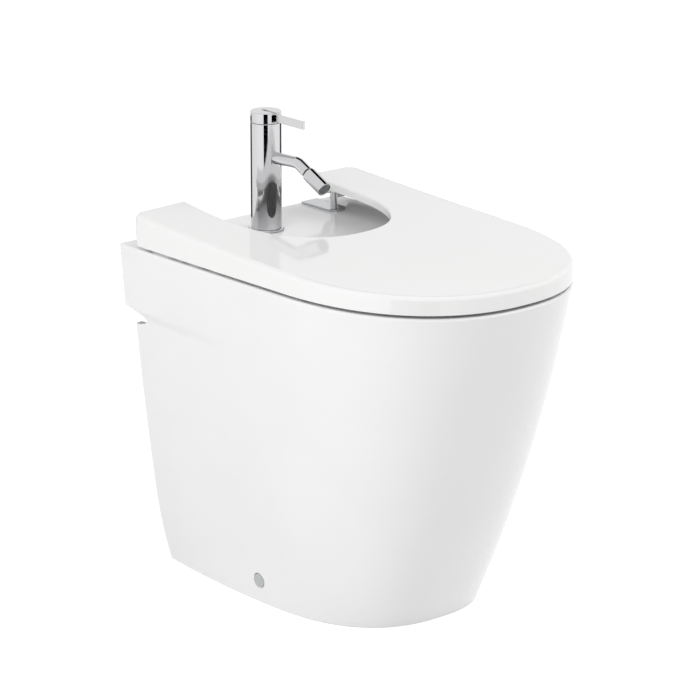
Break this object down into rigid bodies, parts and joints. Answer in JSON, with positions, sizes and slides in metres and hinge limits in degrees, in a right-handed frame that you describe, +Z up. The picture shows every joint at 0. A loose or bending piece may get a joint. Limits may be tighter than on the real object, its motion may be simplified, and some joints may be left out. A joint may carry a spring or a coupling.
{
  "type": "floor standing bidet",
  "caption": "Floor standing ceramic bidet, back to wall, with a soft-close cut-out cover, a single-lever mixer with swivel nozzle, waste, trap and floor fixings.",
  "frame": {"origin": "on the floor in the middle of the footprint", "axes": "+Z up, the front faces -Y, the wall is at +Y, X runs across"},
  "size_m": [0.36, 0.53, 0.57],
  "materials": {
    "glazed_china": "gloss",
    "cover_gloss": "gloss",
    "chrome": "polished",
    "plated_brass": "satin",
    "brass": "machined",
    "steel": "zinc plated",
    "rubber": "matte",
    "grey_plastic": "satin",
    "white_plastic": "satin"
  },
  "bodies": {
    "bidet": {"ceramic_body": "glazed_china", "floor_angles": "steel", "angle_nuts": "steel", "side_sleeves": "white_plastic", "side_screws": "steel", "side_caps": "grey_plastic", "waste_flange": "chrome", "flange_gasket": "rubber", "waste_body": "plated_brass", "cone_gasket": "rubber", "waste_nut": "plated_brass", "click_cartridge": "white_plastic", "click_spring": "steel", "trap_nut": "plated_brass", "trap_seal": "rubber", "trap_tube": "plated_brass", "trap_body": "plated_brass", "trap_cup": "plated_brass", "cup_seal": "rubber", "outlet_nut": "plated_brass", "outlet_seal": "rubber", "outlet_pipe": "plated_brass", "tap_body": "chrome", "tap_base_ring": "chrome", "tap_base_seal": "rubber", "tap_spout": "chrome", "swivel_ball": "chrome", "cartridge": "white_plastic", "cartridge_nut": "plated_brass", "tap_stud": "steel", "clamp_pad": "rubber", "clamp_washer": "steel", "tap_nut": "brass", "hinge_plates": "chrome", "hinge_posts": "chrome", "hinge_blocks": "cover_gloss", "hinge_studs": "steel", "hinge_cones": "rubber", "hinge_nuts": "white_plastic"},
    "cover": {"lid": "cover_gloss", "lid_bumpers": "white_plastic", "damper_shafts": "steel"},
    "handle": {"handle_cap": "chrome", "handle_plug": "grey_plastic"},
    "lever": {"handle_lever": "chrome", "handle_screw": "steel", "cartridge_stem": "steel"},
    "swivel": {"swivel_seat": "white_plastic"},
    "nozzle": {"nozzle": "chrome", "swivel_ring": "plated_brass", "aerator": "grey_plastic", "aerator_seal": "rubber"},
    "plug": {"waste_plug": "chrome", "plug_stem": "steel", "plug_seal": "rubber"}
  },
  "joints": [
    {"name": "lid_hinge", "type": "hinge", "parent": "bidet", "child": "cover", "pos_m": [0, 0.225, 0.447], "axis": [-1, 0, 0], "range_deg": [0, 92]},
    {"name": "handle_turn", "type": "hinge", "parent": "bidet", "child": "handle", "pos_m": [0, 0.1975, 0.56], "axis": [0, 0, 1], "range_deg": [-45, 45]},
    {"name": "lever_lift", "type": "hinge", "parent": "handle", "child": "lever", "pos_m": [0, 0.1975, 0.55], "axis": [-1, 0, 0], "range_deg": [0, 20]},
    {"name": "nozzle_tilt", "type": "hinge", "parent": "bidet", "child": "swivel", "pos_m": [0, 0.11436, 0.5045], "axis": [1, 0, 0], "range_deg": [-12, 12]},
    {"name": "nozzle_swing", "type": "hinge", "parent": "swivel", "child": "nozzle", "pos_m": [0, 0.11436, 0.5045], "axis": [0, -0.4462, 0.8949], "range_deg": [-12, 12]},
    {"name": "plug_slide", "type": "slide", "parent": "bidet", "child": "plug", "axis": [0, 0, -1], "range_m": [0, 0.008], "deforming": ["click_spring"]}
  ]
}
